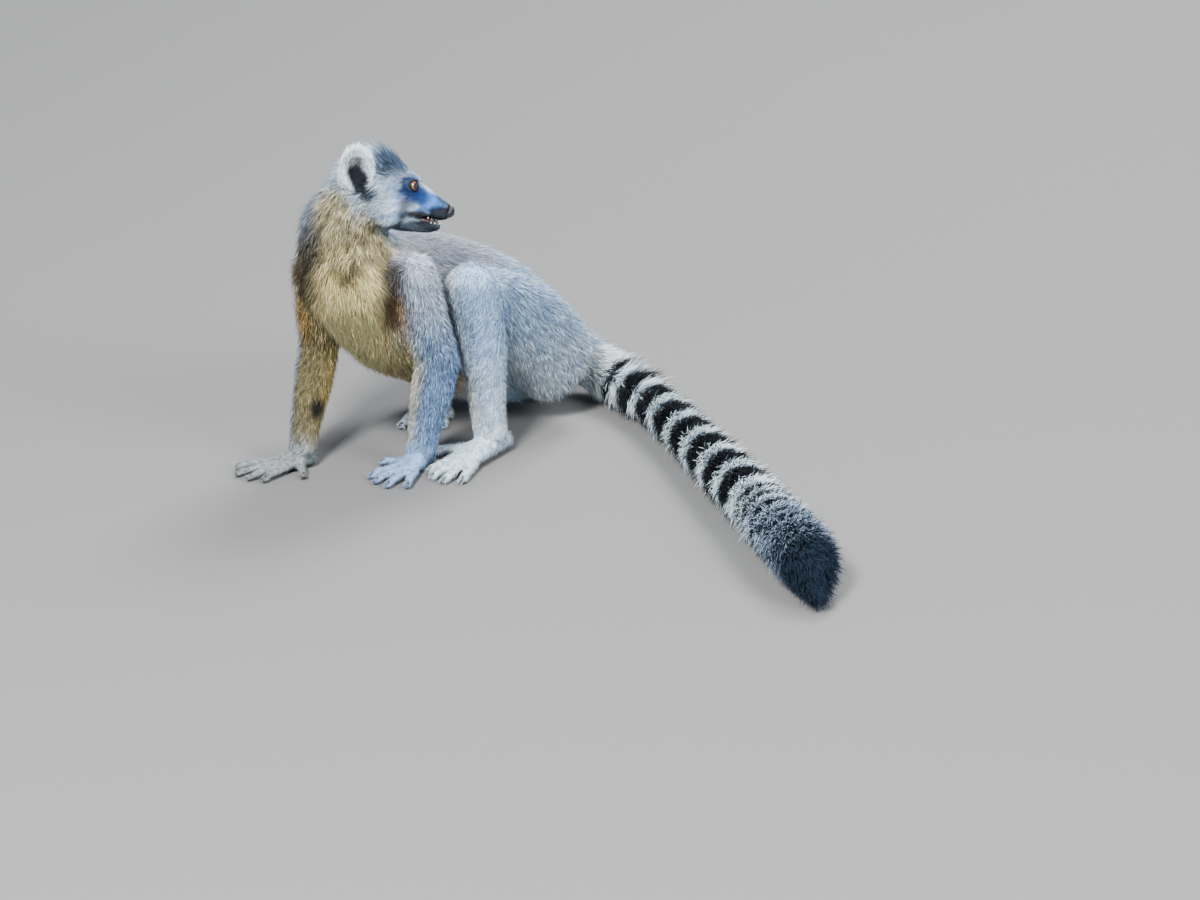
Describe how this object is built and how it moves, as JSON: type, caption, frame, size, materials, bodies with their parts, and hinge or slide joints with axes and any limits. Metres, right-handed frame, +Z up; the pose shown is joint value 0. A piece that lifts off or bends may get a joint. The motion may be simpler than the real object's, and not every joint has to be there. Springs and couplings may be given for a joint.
{
  "type": "ring-tailed lemur",
  "caption": "Life-size still model of a ring-tailed lemur sitting on its rump with straight forelegs, head turned to its left and the banded tail laid along the floor.",
  "frame": {"origin": "bottom centre of the box round the whole animal, on the floor it rests on", "axes": "+Z up; the trunk faces -X and -Y, the muzzle points along +X, and the tail runs along the floor toward -Y"},
  "size_m": [0.5324, 0.5954, 0.3012],
  "materials": {
    "grey_coat": "dense matt woolly hair, blue-grey with paler tips",
    "pale_coat": "long soft matt hair, cream",
    "ringed_coat": "fluffy matt hair in black and white rings",
    "face_coat": "very short matt hair, white with grey patches",
    "paw_skin": "short pale hair over grainy grey skin",
    "nose_skin": "bare grainy black skin, slightly moist",
    "eye": "wet gloss, orange iris round a black pupil"
  },
  "bodies": {
    "root": {"belly": "grey_coat", "chest": "pale_coat", "ear_left": "face_coat", "ear_right": "face_coat", "eye_left": "eye", "eye_right": "eye", "foot_left": "paw_skin", "foot_right": "paw_skin", "forearm_left": "grey_coat", "forearm_right": "grey_coat", "hand_left": "paw_skin", "hand_right": "paw_skin", "head": "face_coat", "neck": "pale_coat", "nose": "nose_skin", "rump": "grey_coat", "shin_left": "grey_coat", "shin_right": "grey_coat", "tail_1": "ringed_coat", "tail_2": "ringed_coat", "tail_3": "ringed_coat", "tail_4": "ringed_coat", "tail_5": "ringed_coat", "tail_6": "ringed_coat", "thigh_left": "grey_coat", "thigh_right": "grey_coat", "upper_arm_left": "grey_coat", "upper_arm_right": "grey_coat"}
  },
  "joints": []
}
